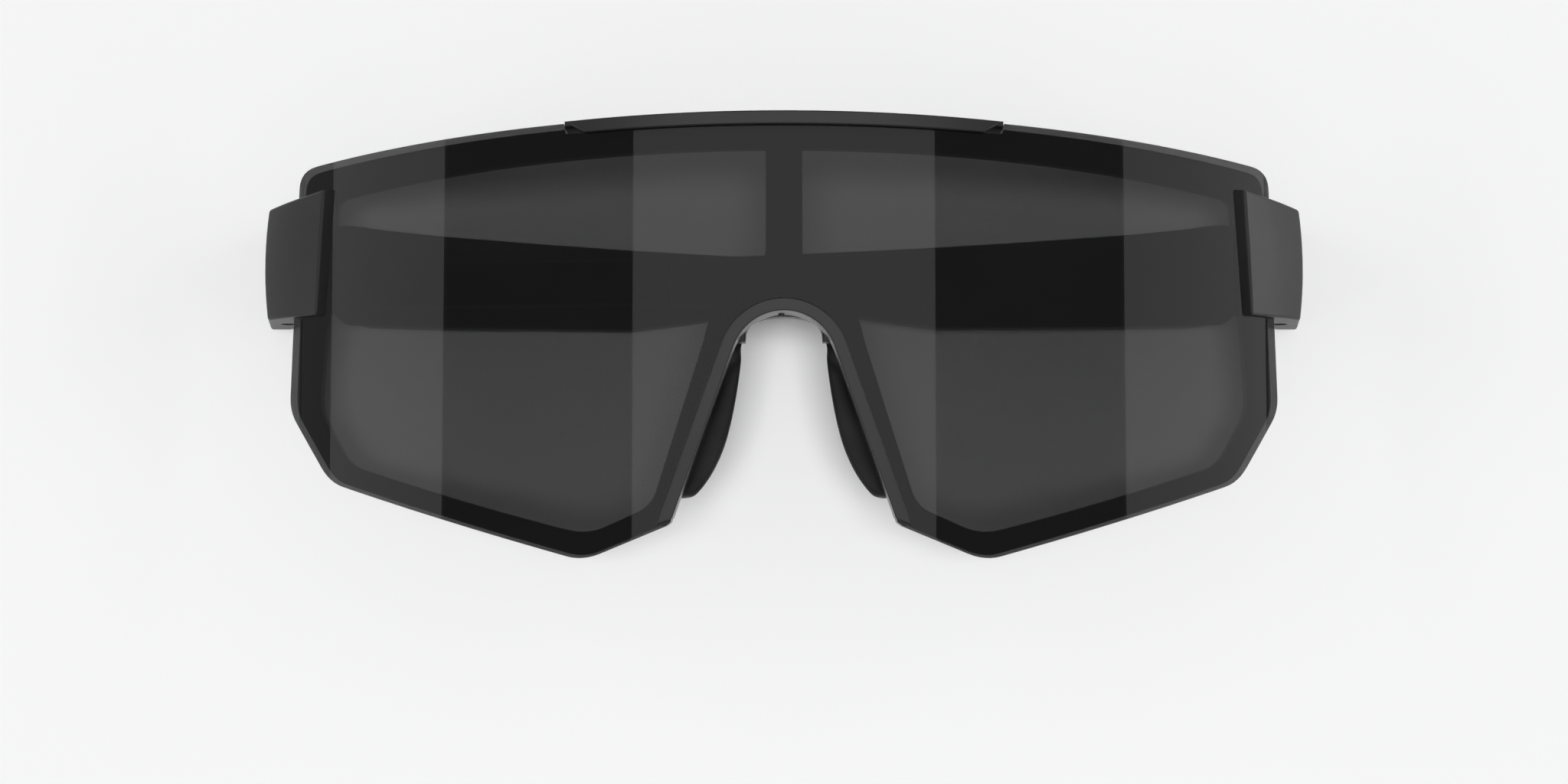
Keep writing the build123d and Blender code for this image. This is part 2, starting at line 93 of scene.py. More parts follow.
def straight(a, b, step=1.0):
    count = max(1, round(math.dist(a, b) / step))
    return [(mix(a[0], b[0], k / count), mix(a[1], b[1], k / count)) for k in range(count + 1)]


def arc(a, middle, b, step=0.7):
    """Points on the circle through three points, from a to b."""
    ax, ay = a
    bx, by = middle
    cx, cy = b
    d = 2 * (ax * (by - cy) + bx * (cy - ay) + cx * (ay - by))
    ux = ((ax**2 + ay**2) * (by - cy) + (bx**2 + by**2) * (cy - ay) + (cx**2 + cy**2) * (ay - by)) / d
    uy = ((ax**2 + ay**2) * (cx - bx) + (bx**2 + by**2) * (ax - cx) + (cx**2 + cy**2) * (bx - ax)) / d
    radius = math.dist(a, (ux, uy))
    start = math.atan2(ay - uy, ax - ux)
    end = math.atan2(cy - uy, cx - ux)
    through = math.atan2(by - uy, bx - ux)
    turn = (end - start) % math.tau
    if (through - start) % math.tau > turn:
        turn -= math.tau
    count = max(4, round(abs(turn) * radius / step))
    angles = [start + turn * k / count for k in range(count + 1)]
    return [(ux + radius * math.cos(v), uy + radius * math.sin(v)) for v in angles]


def blended(start, corner, end, count=6):
    """Points inside a rounded corner, from its start to its end."""
    shares = [n / count for n in range(1, count)]
    return [
        tuple((1 - t) ** 2 * start[i] + 2 * t * (1 - t) * corner[i] + t * t * end[i] for i in (0, 1))
        for t in shares
    ]


def nearest_past(points, corner, trim):
    """The point closest to a corner, of those at least the trim away."""
    return min((p for p in points if math.dist(p, corner) >= trim), key=lambda p: math.dist(p, corner))


def joined(edges, trims):
    """A closed outline of edges that run corner to corner. Corner k, at the start of edge k, is rounded."""
    outline = []
    for k, edge in enumerate(edges):
        corner, trim = edge[0], trims[k]
        after_corner = trims[(k + 1) % len(edges)]
        if trim:
            before = edges[k - 1]
            start = nearest_past(before, corner, trim)
            end = nearest_past(edge, corner, trim)
            outline.extend(blended(start, corner, end))
        else:
            outline.append(corner)
        last = edge[-1]
        past_corner = [p for p in edge[1:-1] if math.dist(p, corner) >= trim]
        outline.extend(p for p in past_corner if math.dist(p, last) >= after_corner)
    return outline


def mirrored(half):
    """A closed outline from its right half, which starts and ends on the centre line."""
    return half + [(-x, y) for x, y in reversed(half[1:-1])]


def nose_line(offset, foot_y):
    radius = NOSE_RADIUS + offset
    tangent = (radius * math.cos(NOSE_LEAN), NOSE_CENTRE_Y + radius * math.sin(NOSE_LEAN))
    foot = (tangent[0] + (tangent[1] - foot_y) * math.tan(NOSE_LEAN), foot_y)
    return foot, tangent, (0.0, NOSE_CENTRE_Y + radius)


def nose_half(offset, foot_y):
    """Right half of the arch, from its foot to its top."""
    foot, tangent, top = nose_line(offset, foot_y)
    swing = [math.pi / 2 * k / 14 + NOSE_LEAN * (1 - k / 14) for k in range(15)]
    radius = NOSE_RADIUS + offset
    curve = [(radius * math.cos(v), NOSE_CENTRE_Y + radius * math.sin(v)) for v in swing]
    return straight(foot, tangent) + curve[1:]


def cylinder(radius):
    """Height of the lens cylinder's skin of a radius, for a place across the front."""
    return lambda x: -LENS_RADIUS + math.sqrt(radius**2 - x * x)


def level(z):
    return lambda x: z


# ---- mesh helpers ----
def finished(name, mesh, body, material, nodes=()):
    """A piece of the object from a mesh in the frame."""
    piece = bpy.data.objects.new(name, mesh)
    bpy.context.scene.collection.objects.link(piece)
    mesh.materials.clear()
    mesh.materials.append(material)
    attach(piece, body)
    if nodes:
        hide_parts(*nodes)
    return piece


def plate_mesh(name, loops, front, back, rounding, strip=1.5):
    """A plate between two surfaces across the front view, with its edges rounded, holes included."""
    curve = bpy.data.curves.new(name, "CURVE")
    curve.dimensions = "2D"
    curve.fill_mode = "BOTH"
    half = 0.5
    curve.extrude = half - rounding
    curve.bevel_depth = rounding
    curve.bevel_resolution = 3
    curve.offset = -rounding
    for loop in loops:
        spline = curve.splines.new("POLY")
        spline.points.add(len(loop) - 1)
        for point, (x, y) in zip(spline.points, loop):
            point.co = (x, y, 0, 1)
        spline.use_cyclic_u = True
    holder = bpy.data.objects.new(name, curve)
    bpy.context.scene.collection.objects.link(holder)
    evaluated = holder.evaluated_get(bpy.context.evaluated_depsgraph_get())
    mesh = bpy.data.meshes.new_from_object(evaluated)
    bpy.data.objects.remove(holder)
    bm = bmesh.new()
    bm.from_mesh(mesh)
    bmesh.ops.remove_doubles(bm, verts=bm.verts, dist=0.0005)
    reach = max(v.co.x for v in bm.verts)
    cuts = int(reach / strip)
    for k in range(-cuts, cuts + 1):
        geometry = bm.verts[:] + bm.edges[:] + bm.faces[:]
        bmesh.ops.bisect_plane(bm, geom=geometry, dist=1e-5, plane_co=(k * strip, 0, 0), plane_no=(1, 0, 0))
    for v in bm.verts:
        t = v.co.z + half
        x = v.co.x
        v.co = place((x, v.co.y, mix(back(x), front(x), t)))
    bmesh.ops.recalc_face_normals(bm, faces=bm.faces)
    bm.to_mesh(mesh)
    bm.free()
    return mesh


def shade(mesh, angle=40, curved=None):
    """Smooth shading with sharp creases; faces along the lens cylinder take its exact normal."""
    mesh.shade_smooth()
    mesh.set_sharp_from_angle(angle=math.radians(angle))
    if not curved:
        return
    normals = [Vector(n.vector) for n in mesh.corner_normals]
    for polygon in mesh.polygons:
        for k in polygon.loop_indices:
            x = mesh.vertices[mesh.loops[k].vertex_index].co.x / MM
            radial = Vector((x / LENS_RADIUS, 0, math.sqrt(LENS_RADIUS**2 - x * x) / LENS_RADIUS))
            share = radial.dot(polygon.normal)
            if abs(share) > 0.985:
                normals[k] = radial * math.copysign(1, share)
    mesh.normals_split_custom_set(normals)


# ---- materials ----
def new_material(name, base, roughness, metallic=0.0):
    material = bpy.data.materials.new(name)
    material.use_nodes = True
    tree = material.node_tree
    shader = tree.nodes["Principled BSDF"]
    shader.inputs["Base Color"].default_value = (*base, 1)
    shader.inputs["Roughness"].default_value = roughness
    shader.inputs["Metallic"].default_value = metallic
    return material, tree, shader


def noise(tree, scale, detail=2.0, stretch=None):
    """Noise in object space; stretch draws it out along one axis."""
    where = tree.nodes.new("ShaderNodeTexCoord")
    texture = tree.nodes.new("ShaderNodeTexNoise")
    texture.inputs["Scale"].default_value = scale
    texture.inputs["Detail"].default_value = detail
    source = where.outputs["Object"]
    if stretch:
        mapping = tree.nodes.new("ShaderNodeMapping")
        mapping.inputs["Scale"].default_value = stretch
        tree.links.new(source, mapping.inputs["Vector"])
        source = mapping.outputs["Vector"]
    tree.links.new(source, texture.inputs["Vector"])
    return texture.outputs["Fac"]


def ranged(tree, value, low, high):
    node = tree.nodes.new("ShaderNodeMapRange")
    node.inputs["To Min"].default_value = low
    node.inputs["To Max"].default_value = high
    tree.links.new(value, node.inputs["Value"])
    return node.outputs["Result"]


def tinted(tree, shader, value, dark, light):
    """Colour variation between two tones."""
    ramp = tree.nodes.new("ShaderNodeValToRGB")
    ramp.color_ramp.elements[0].position = 0.3
    ramp.color_ramp.elements[0].color = (*dark, 1)
    ramp.color_ramp.elements[1].position = 0.7
    ramp.color_ramp.elements[1].color = (*light, 1)
    tree.links.new(value, ramp.inputs["Fac"])
    tree.links.new(ramp.outputs["Color"], shader.inputs["Base Color"])


def bumped(tree, shader, value, depth, strength=1.0):
    bump = tree.nodes.new("ShaderNodeBump")
    bump.inputs["Distance"].default_value = depth * MM
    bump.inputs["Strength"].default_value = strength
    tree.links.new(value, bump.inputs["Height"])
    tree.links.new(bump.outputs["Normal"], shader.inputs["Normal"])


def moulded(name, tone, roughness, grain, depth, specular=0.5, spread=0.04):
    """Moulded black plastic: fine spark grain, slightly uneven gloss and tone."""
    base = (tone, tone, tone * 1.03)
    material, tree, shader = new_material(name, base, roughness)
    shader.inputs["Specular IOR Level"].default_value = specular
    tinted(tree, shader, noise(tree, 90), tuple(c * 0.9 for c in base), tuple(c * 1.12 for c in base))
    gloss = ranged(tree, noise(tree, 260, 3), roughness - spread, roughness + spread)
    tree.links.new(gloss, shader.inputs["Roughness"])
    bumped(tree, shader, noise(tree, grain, 3), depth)
    return material


def rubber(name, roughness, specular):
    base = (0.008, 0.008, 0.0083)
    material, tree, shader = new_material(name, base, roughness)
    shader.inputs["Specular IOR Level"].default_value = specular
    shader.inputs["Sheen Weight"].default_value = 0.02
    shader.inputs["Sheen Roughness"].default_value = 0.5
    tinted(tree, shader, noise(tree, 140), tuple(c * 0.8 for c in base), tuple(c * 1.25 for c in base))
    gloss = ranged(tree, noise(tree, 500, 3), roughness - 0.08, roughness + 0.08)
    tree.links.new(gloss, shader.inputs["Roughness"])
    bumped(tree, shader, noise(tree, 5200, 4), 0.02)
    return material


def metal(name, tone, roughness, stretch):
    material, tree, shader = new_material(name, tone, roughness, 1.0)
    shader.inputs["Anisotropic"].default_value = 0.5
    lines = noise(tree, 900, 3, stretch)
    tinted(tree, shader, lines, tuple(c * 0.85 for c in tone), tuple(min(1, c * 1.1) for c in tone))
    tree.links.new(ranged(tree, lines, roughness - 0.08, roughness + 0.1), shader.inputs["Roughness"])
    bumped(tree, shader, lines, 0.004)
    return material


def nylon():
    base = (0.62, 0.61, 0.57)
    material, tree, shader = new_material("nylon", base, 0.42)
    tinted(tree, shader, noise(tree, 300), tuple(c * 0.92 for c in base), tuple(c * 1.05 for c in base))
    tree.links.new(ranged(tree, noise(tree, 900, 3), 0.36, 0.5), shader.inputs["Roughness"])
    bumped(tree, shader, noise(tree, 2600, 2), 0.006)
    return material


def smoke():
    """Grey smoke lens with a polished hard coat: each face holds back most of the light."""
    base = (0.004, 0.004, 0.0042)
    material, tree, shader = new_material("smoke_lens", base, 0.0)
    shader.inputs["Alpha"].default_value = LENS_ALPHA
    shader.inputs["IOR"].default_value = 1.5
    shader.inputs["Specular IOR Level"].default_value = LENS_SPECULAR
    tinted(tree, shader, noise(tree, 60), tuple(c * 0.9 for c in base), tuple(c * 1.1 for c in base))
    tree.links.new(ranged(tree, noise(tree, 35, 2), 0.0, 0.012), shader.inputs["Roughness"])
    return material


LENS_ALPHA = 0.756
LENS_SPECULAR = 0.265
MATERIALS = {
    "smoke_lens": smoke(),
    "frame_black": moulded("frame_black", 0.015, 0.42, 3800, 0.012, 0.22),
    "satin_black": moulded("satin_black", 0.016, 0.32, 4200, 0.006, 0.3),
    "soft_rubber": rubber("soft_rubber", 0.55, 0.22),
    "smooth_rubber": rubber("smooth_rubber", 0.4, 0.4),
    "hinge_steel": metal("hinge_steel", (0.5, 0.5, 0.51), 0.3, (1, 14, 1)),
    "core_steel": metal("core_steel", (0.45, 0.46, 0.47), 0.28, (14, 1, 1)),
    "insert_brass": metal("insert_brass", (0.7, 0.52, 0.22), 0.3, (1, 14, 1)),
    "nylon": nylon(),
}
for part in frame["record"]["subparts"]:
    node = frame["nodes"][part["node"]]
    node.data.materials.clear()
    node.data.materials.append(MATERIALS[part["material_slot"]])
    node.data.shade_smooth()
    node.data.set_sharp_from_angle(angle=math.radians(35))


# ---- lens, rim and trim ----
def lens_half():
    """Right half of the lens outline, from the top middle round to the top of the nose arch."""
    top, side, low, tip, nose = LENS_CORNERS
    bar_low = BAR_TOP - 0.75
    under_bar = arc((-BAR_HALF - 0.05, bar_low - 0.72), (0, bar_low), (BAR_HALF + 0.05, bar_low - 0.72))
    full_top = arc((-top[0], top[1]), (0, LENS_TOP), top)
    edges = [
        [p for p in under_bar if p[0] >= 0],
        [p for p in full_top if p[0] > BAR_HALF + 0.1],
        straight(top, side, 0.5),
        straight(side, low, 0.5),
        arc(low, ((low[0] + tip[0]) / 2, (low[1] + tip[1]) / 2 - 0.2), tip),
        straight(tip, (nose[0] - 0.4, nose[1] + 0.16), 0.5),
    ]
    half = list(edges[0]) + list(edges[1])
    trims = (2.2, 1.7, 2.0, 2.0)
    sides = [edges[1], *edges[2:]]
    for k in range(4):
        before, after = sides[k], sides[k + 1]
        corner = after[0]
        trim = trims[k]
        half = [p for p in half if math.dist(p, corner) >= trim]
        start = half[-1]
        end = next(p for p in after if math.dist(p, corner) >= trim)
        half.extend(blended(start, corner, end))
        half.extend(p for p in after if math.dist(p, corner) >= trim)
    foot = [p for p in nose_half(0.05, -23.75) if p[1] < -22.3]
    arch = [p for p in nose_half(CLIP_WALL + 0.1, -23.75) if p[1] > -22.2]
    return half + foot + arch


def inset(half, distance, stop_y):
    """Move an outline inwards, but not its nose arch."""
    moved = []
    count = len(half)
    for k, (x, y) in enumerate(half):
        ax, ay = half[max(0, k - 1)]
        bx, by = half[min(count - 1, k + 1)]
        dx, dy = bx - ax, by - ay
        length = math.hypot(dx, dy) or 1.0
        on_arch = x < 15.45 and y > stop_y and y < 5
        step = 0.0 if on_arch else distance
        moved.append((x + dy / length * step if k else 0.0, y - dx / length * step))
    return moved


def eye_loop(side):
    """Eye opening of the rim."""
    foot = nose_line(3.2, -21.6)[0]
    edges = [
        arc((EYE_COLUMN, 24.1), (32.0, 23.2), (61.3, 20.6)),
        arc((61.3, 20.6), (62.6, 6.0), (63.7, -8.3)),
        straight((63.7, -8.3), (58.9, -15.9), 0.5),
        arc((58.9, -15.9), (42.5, -20.8), (25.3, -25.3)),
        straight((25.3, -25.3), foot, 0.5),
        straight(foot, (10.25, -0.4), 0.5),
        arc((10.25, -0.4), (8.1, 4.9), (3.1, 9.3), 0.5),
        arc((3.1, 9.3), (2.55, 10.1), (EYE_COLUMN, 11.2), 0.3),
        straight((EYE_COLUMN, 11.2), (EYE_COLUMN, 24.1), 0.5),
    ]
    loop = joined(edges, (0.0, 1.0, 1.8, 1.8, 2.2, 1.6, 0.0, 0.0, 0.0))
    return [(side * x, y) for x, y in loop]


def make_lens():
    outline = mirrored(lens_half())
    mesh = plate_mesh("lens_shield", [outline], cylinder(LENS_RADIUS), cylinder(LENS_BACK), 0.1)
    shade(mesh, 50, curved=True)
    lens = finished("lens_shield", mesh, "front", MATERIALS["smoke_lens"], ("shield_lens",))
    lens.visible_shadow = False


def make_rim():
    half = inset(lens_half(), 0.35, -24.3)
    loops = [mirrored(half), eye_loop(1), eye_loop(-1)]
    mesh = plate_mesh("rim", loops, cylinder(RIM_FRONT), cylinder(RIM_BACK), 0.2)
    shade(mesh, 50, curved=True)
    return finished("rim", mesh, "front", MATERIALS["frame_black"], ("frame_rim",))


# ---- solid helpers: lofts, bevels and cuts ----
def loft_mesh(name, rings, fold=None):
    """A closed skin over rings of points, in millimetres, with a cap at each end, the first one folded."""
    bm = bmesh.new()
    rows = [[bm.verts.new(place(p)) for p in ring] for ring in rings]
    for lower, upper in zip(rows, rows[1:]):
        for k in range(len(lower)):
            n = (k + 1) % len(lower)
            bm.faces.new((lower[k], lower[n], upper[n], upper[k]))
    cap = bm.faces.new(rows[0])
    bm.faces.new(rows[-1])
    if fold:
        bmesh.utils.face_split(cap, rows[0][fold[0]], rows[0][fold[1]])
    bmesh.ops.recalc_face_normals(bm, faces=bm.faces)
    mesh = bpy.data.meshes.new(name)
    bm.to_mesh(mesh)
    bm.free()
    return mesh


def prism_mesh(name, outline, low, high):
    """A prism along Y over an (x, z) outline."""
    rings = [[(x, y, z) for x, z in outline] for y in (low, high)]
    return loft_mesh(name, rings)


def rod_mesh(name, x, z, radius, low, high, count=32):
    turns = [math.tau * k / count for k in range(count)]
    circle = [(x + radius * math.cos(v), z + radius * math.sin(v)) for v in turns]
    return prism_mesh(name, circle, low, high)


def worked(mesh, width, segments=3, angle=30, cutters=()):
    """The mesh with its edges rounded and the cutters taken away."""
    body = bpy.data.objects.new("work", mesh)
    bpy.context.scene.collection.objects.link(body)
    bevel = body.modifiers.new("round edges", "BEVEL")
    bevel.width = width * MM
    bevel.segments = segments
    bevel.limit_method = "ANGLE"
    bevel.angle_limit = math.radians(angle)
    tools = []
    for cutter in cutters:
        tool = bpy.data.objects.new("cutter", cutter)
        bpy.context.scene.collection.objects.link(tool)
        tools.append(tool)
        cut = body.modifiers.new("cut", "BOOLEAN")
        cut.operation = "DIFFERENCE"
        cut.object = tool
        cut.solver = "EXACT"
    result = bpy.data.meshes.new_from_object(body.evaluated_get(bpy.context.evaluated_depsgraph_get()))
    for item in (body, *tools):
        bpy.data.objects.remove(item)
    return result


def table_value(table, s):
    """A value read off a short list of (s, value) points."""
    for (s0, v0), (s1, v1) in zip(table, table[1:]):
        if s <= s1:
            return mix(v0, v1, max(0.0, (s - s0) / (s1 - s0)))
    return table[-1][1]


# ---- hinge blocks ----
BLOCK_LOW = 4.35
BLOCK_CROWN = 0.5
BLOCK_FOOT = ((62.2, -20.7), (60.9, -19.75))  # where it meets the lens: lower end, upper end
BLOCK_FOLD = ((63.3, -18.75), (62.4, -18.2))
BLOCK_FACE = ((62.6, -18.3), (67.5, -21.85), (72.1, -26.4))
BLOCK_BACK = (
    (74.7, -41.4), (71.6, -41.4), (69.4, -37.85), (67.2, -36.9),
    (65.7, -35.2), (65.15, -33.0), (65.15, -28.2), (61.6, -22.6),
)
HINGE_SPACE = ((60.0, -27.9), (71.35, -27.9), (73.15, -39.9), (73.15, -45.0), (60.0, -45.0))
LENS_SPACE = ((55.0, -25.2), (68.3, -25.2), (68.3, -28.1), (55.0, -28.1))
HOLLOW_LOW, HOLLOW_HIGH = 5.63, 18.37
SCREW_HEAD_RADIUS = 1.3


def block_roof(x):
    """Height of the block's slanted upper face."""
    return 22.6 - 0.17 * (x - 55)


def make_block(name, side, levels=9):
    """A hinge block: a crowned face that wraps round the lens edge, hollow at the back for the hinge."""
    face = [(x, z) for x, z in arc(*BLOCK_FACE, 1.6) if x > 64]
    rings = []
    for k in range(levels + 1):
        v = k / levels
        crown = BLOCK_CROWN * (1 - (2 * v - 1) ** 2)
        foot = [mix(BLOCK_FOOT[0][i], BLOCK_FOOT[1][i], v) for i in (0, 1)]
        fold = [mix(BLOCK_FOLD[0][i], BLOCK_FOLD[1][i], v) for i in (0, 1)]
        crowned = [(x - BLOCK_CROWN + crown, z) for x, z in face]
        ring = [foot, fold, *crowned, *BLOCK_BACK]
        rings.append([(side * x, mix(BLOCK_LOW, block_roof(x), v), z) for x, z in ring])
    hollows = [
        prism_mesh("hollow", [(side * x, z) for x, z in outline], HOLLOW_LOW, HOLLOW_HIGH)
        for outline in (HINGE_SPACE, LENS_SPACE)
    ]
    recess = rod_mesh("screw_recess", side * HINGE_X, HINGE_Z, SCREW_HEAD_RADIUS, 3.0, HOLLOW_LOW + 0.07)
    mesh = worked(loft_mesh("block", rings), 0.42, 4, 28, (*hollows, recess))
    shade(mesh, 34)
    material = MATERIALS["frame_black"]
    piece = finished("block_" + name, mesh, "front", material, ("hinge_block_" + name,))
    piece.modifiers.new("flat faces", "WEIGHTED_NORMAL").keep_sharp = True
    piece.visible_glossy = False


# ---- brow bar, clip and saddle ----
BAR_FACE = 1.75
BAR_WALL = 0.7
EAR_X, EAR_Y = 10.29, -6.97
EAR_HALF = (1.15, 1.6)
EAR_Z = (-7.45, -5.55)
NIB_RINGS = (
    ((-0.85, 3.05, -4.2), (0.15, 3.05, -4.4), (-0.35, 3.05, -3.3)),
    ((-0.55, 2.77, -4.0), (-0.15, 2.77, -4.1), (-0.35, 2.77, -3.7)),
)
SADDLE_FRONT_Z, SADDLE_BACK_Z = -6.52, -9.5
SADDLE_INNER = (
    (5.0, -0.4), (4.9, 0.8), (4.7, 1.35), (4.25, 1.9), (3.5, 2.35), (2.5, 2.66), (1.2, 2.84), (0, 2.88),
)


def bar_arc(y, drop, half):
    return arc((half, y - drop), (0, y), (-half, y - drop), 1.0)


def make_brow_bar():
    """The trim lip over the lens's top edge, and its wall down behind the edge."""
    material = MATERIALS["satin_black"]
    top = bar_arc(BAR_TOP, 0.75, BAR_HALF)
    lip = [*top, *reversed(bar_arc(BAR_TOP - BAR_FACE, 0.52, BAR_HALF - 2.6))]
    wall = [*top, *reversed(bar_arc(BAR_TOP - BAR_WALL, 0.72, BAR_HALF))]
    lip_mesh = plate_mesh("brow_lip", [lip], cylinder(BAR_FRONT), cylinder(LENS_RADIUS + SKIN), 0.3)
    wall_mesh = plate_mesh("brow_wall", [wall], cylinder(BAR_FRONT - 0.3), cylinder(RIM_BACK - 0.4), 0.12)
    for name, mesh in (("brow_lip", lip_mesh), ("brow_wall", wall_mesh)):
        shade(mesh, 50, curved=True)
        finished(name, mesh, "front", material, ("brow_bar",))


def arch_loop(outer, inner, outer_foot, inner_foot):
    """A closed U outline between two offsets of the nose arch."""
    return mirrored([*nose_half(outer, outer_foot)[::-1], *nose_half(inner, inner_foot)])


def clip_piece(name, mesh, angle, curved=None):
    shade(mesh, angle, curved)
    finished(name, mesh, "front", MATERIALS["satin_black"], ("nose_bridge_clip",))


def make_clip():
    """The U strip along the nose edge, its wall, the ears for the pads' wires and a small moulding nib."""
    strip_loop = arch_loop(CLIP_WIDTH, 0.0, -24.0, -23.2)
    strip = plate_mesh("clip_strip", [strip_loop], cylinder(CLIP_FRONT), cylinder(LENS_RADIUS + SKIN), 0.26)
    clip_piece("clip_strip", strip, 50, curved=True)
    wall_loop = arch_loop(CLIP_WALL, 0.03, -23.5, -23.2)
    wall = plate_mesh("clip_wall", [wall_loop], cylinder(LENS_RADIUS + 0.2), level(CLIP_BACK_Z), 0.12)
    clip_piece("clip_wall", wall, 50)
    lean_x, lean_y = math.cos(NOSE_LEAN), math.sin(NOSE_LEAN)
    half_a, half_b = EAR_HALF
    corners = [(-half_a, -half_b), (half_a, -half_b), (half_a, half_b), (-half_a, half_b)]
    ring = [(EAR_X + a * lean_x + b * lean_y, EAR_Y + a * lean_y - b * lean_x) for a, b in corners]
    for name, side in SIDES:
        rings = [[(side * x, y, z) for x, y in ring] for z in EAR_Z]
        clip_piece("clip_ear_" + name, worked(loft_mesh("ear", rings), 0.3), 40)
    clip_piece("clip_nib", loft_mesh("nib", NIB_RINGS), 20)


def make_saddle():
    """The rubber lining of the arch, thickest at its two ends."""
    end_y = SADDLE_INNER[0][1]
    outer = [p for p in nose_half(0.7, end_y) if p[1] >= end_y][::-1]
    loop = mirrored([*outer, *SADDLE_INNER])
    mesh = plate_mesh("saddle", [loop], level(SADDLE_FRONT_Z), level(SADDLE_BACK_Z), 0.22)
    shade(mesh, 50)
    finished("saddle", mesh, "front", MATERIALS["smooth_rubber"], ("nose_saddle",))


# ---- nose pads ----
PAD_STATIONS = (
    # inner edge, outer edge, front z, back z
    ((3.75, 2.4), (6.5, 1.4), -10.4, -12.6),
    ((3.95, 1.6), (6.9, 0.4), -10.2, -13.0),
    ((4.2, 0.35), (7.2, -0.9), -10.2, -13.3),
    ((4.6, -0.9), (7.5, -2.2), -10.0, -13.4),
    ((4.9, -2.1), (7.7, -3.4), -8.2, -13.5),
    ((5.25, -3.6), (7.95, -4.9), -7.5, -13.5),
    ((5.75, -7.8), (9.35, -8.8), -7.5, -13.5),
    ((6.75, -12.6), (11.0, -13.4), -7.5, -13.5),
    ((7.7, -15.2), (12.0, -16.2), -7.5, -13.5),
    ((8.9, -17.6), (12.7, -18.5), -7.6, -13.4),
    ((10.2, -19.4), (13.1, -19.8), -7.9, -13.1),
    ((11.2, -20.6), (12.9, -20.6), -8.6, -12.4),
)


PAD_FRONT_Z = -7.5
PAD_LEAN = 0.33
PAD_SQUARENESS = 0.55


def squared(value):
    """A share from 0 to 1 across a section that is between an ellipse and a rectangle."""
    return (math.copysign(abs(value) ** PAD_SQUARENESS, value) + 1) / 2


def make_pad(name, side, count=20):
    """A nose pad: a soft wing that leans outwards as it goes back."""
    rings = []
    for inner, outer, front_z, back_z in PAD_STATIONS:
        ring = []
        for k in range(count):
            turn = math.tau * k / count
            z = mix(back_z, front_z, squared(math.sin(turn)))
            share = squared(math.cos(turn))
            lean = PAD_LEAN * (PAD_FRONT_Z - z)
            x = mix(outer[0], inner[0], share) + lean
            y = mix(outer[1], inner[1], share)
            ring.append((side * x, y, z))
        rings.append(ring)
    mesh = loft_mesh("pad_" + name, rings)
    mesh.shade_smooth()
    material = MATERIALS["soft_rubber"]
    piece = finished("pad_" + name, mesh, name + "_nose_pad", material, ("nose_pad_" + name,))
    smoothing = piece.modifiers.new("smooth", "SUBSURF")
    smoothing.levels = 2
    smoothing.render_levels = 2


# ---- temples ----
# Along a temple s runs from the hinge axis to the tip, t to the outer side, and y up.
OUTER_SIDE = ((8.7, 4.7), (30, 4.55), (55, 4.15), (86, 3.2), (108, 2.45), (130, 1.6))
INNER_SIDE = ((5.25, -0.55), (30, -0.35), (55, -0.25), (86, -0.55), (108, -1.1), (130, -1.8))
ARM_TOP = (
    (4.0, 18.75), (21.5, 17.05), (35, 16.08), (48, 15.25), (57, 14.76), (66.5, 14.3), (76, 13.88), (86, 13.5),
)
ARM_LOW = ((5.25, 6.0), (6.6, 4.28), (21.5, 3.9), (48.5, 3.7), (66, 6.15), (86, 6.95))
GRIP_TOP = ((86.2, 13.5), (126.4, 12.7))
GRIP_LOW = ((86.2, 6.95), (126.4, 6.2))
GRIP_START, GRIP_SHOULDER, TIP = 86.2, 126.4, 129.85
ARM_START, ARM_END = 5.25, 86.0
HEEL_S, HEEL_T = 8.7, 1.4
POCKET = ((-4, 0.15), (16.6, 0.15), (16.6, 1.75), (-4, 1.75))
POCKET_LOW, POCKET_HIGH = 8.35, 15.65
RIB_PITCH, RIB_DEPTH, RIB_SLANT, RIB_HALF = 2.7, 0.28, 0.35, 0.2
RIB_FIRST, RIB_LAST, RIB_LOW, RIB_HIGH = 88, 125, 7.3, 12.1
LONG_GROOVE_Y, LONG_GROOVE_HALF, LONG_GROOVE_SLOPE = 6.9, 0.22, 0.0175


def on_temple(name, side, s, t, y):
    """A point of the folded temple, from its own coordinates."""
    tilt = math.radians(FOLD_TILT[name])
    x = HINGE_X - s * math.cos(tilt) - t * math.sin(tilt)
    z = HINGE_Z + s * math.sin(tilt) - t * math.cos(tilt)
    return (side * x, y, z)


def rounded_section(inner, outer, low, high, corner, chamfer_top=0.0, chamfer_low=0.0, count=14):
    """Points round a temple's section: its inner face down, its outer face up, with rounded corners."""
    corner = min(corner, (outer - inner) / 2.05, (high - low) / 2.05)
    face_high = high - max(corner, chamfer_top)
    face_low = low + max(corner, chamfer_low)
    waist = min(HEEL_T, (inner + outer) / 2)
    turns = [math.pi / 2 * k / 5 for k in range(1, 5)]
    rising = [(corner * (1 - math.cos(a)), math.sin(a)) for a in turns]
    falling = [(corner * (1 - math.sin(a)), 1 - math.cos(a)) for a in turns]
    shares = [k / count for k in range(count + 1)]
    return [
        *[(inner, mix(face_high, face_low, share)) for share in shares],
        *[(inner + across, face_low - (face_low - low) * along) for across, along in rising],
        (inner + corner, low), (waist, low), (outer - corner, low),
        *[(outer - across, low + corner * along) for across, along in falling],
        *[(outer, mix(low + corner, high - corner, share)) for share in shares],
        *[(outer - across, high - corner * (1 - along)) for across, along in rising],
        (outer - corner, high), (waist, high), (inner + corner, high),
        *[(inner + across, high - (high - face_high) * along) for across, along in falling],
    ]


def heel(t):
    """Where the root of the arm starts: it follows the back of the block."""
    return mix(ARM_START, HEEL_S, min(1.0, max(0.0, (t + 0.65) / (HEEL_T + 0.6))))


